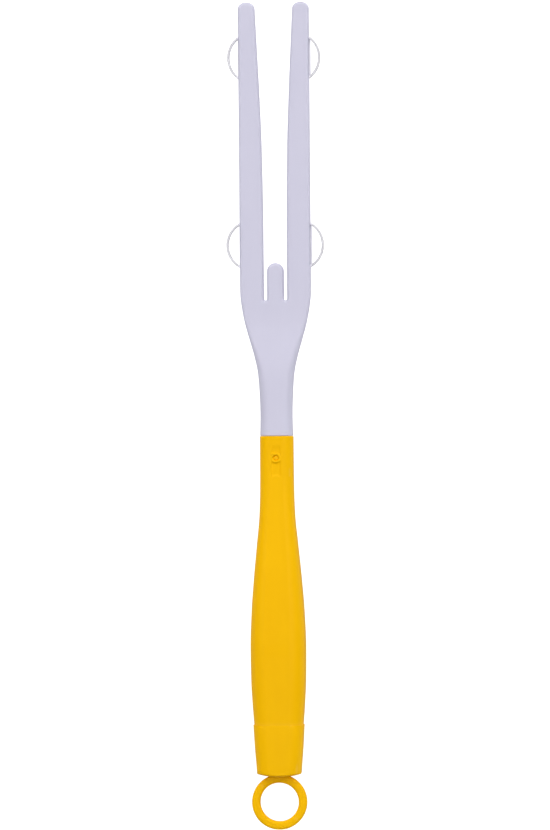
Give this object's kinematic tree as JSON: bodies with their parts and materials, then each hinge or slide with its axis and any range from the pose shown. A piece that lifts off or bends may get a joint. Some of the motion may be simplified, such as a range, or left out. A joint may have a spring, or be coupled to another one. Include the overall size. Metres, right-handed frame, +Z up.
{
  "type": "uncapping fork",
  "caption": "Slim hand fork with flat round-tipped tines, a short centre stub, sprung side bows, and a moulded grip with an end cap and hanging ring.",
  "frame": {"origin": "centre of the hole in the hanging ring, halfway through the ring", "axes": "the tool lies on its back: +Y along it from the ring to the tine tips, +X to the right when the front is seen, +Z up out of the front and along the ring's hole"},
  "size_m": [0.0356, 0.3006, 0.0162],
  "materials": {
    "head_plastic": "pale lavender-white moulded plastic, satin",
    "bow_plastic": "thin pale springy plastic, satin",
    "handle_plastic": "warm yellow moulded plastic, soft gloss"
  },
  "bodies": {
    "root": {"fork_head": "head_plastic", "side_bow_upper_left": "bow_plastic", "side_bow_upper_right": "bow_plastic", "side_bow_lower_left": "bow_plastic", "side_bow_lower_right": "bow_plastic", "handle_shell": "handle_plastic", "retaining_pin": "handle_plastic", "end_cap": "handle_plastic", "hanging_ring": "handle_plastic"}
  },
  "joints": []
}
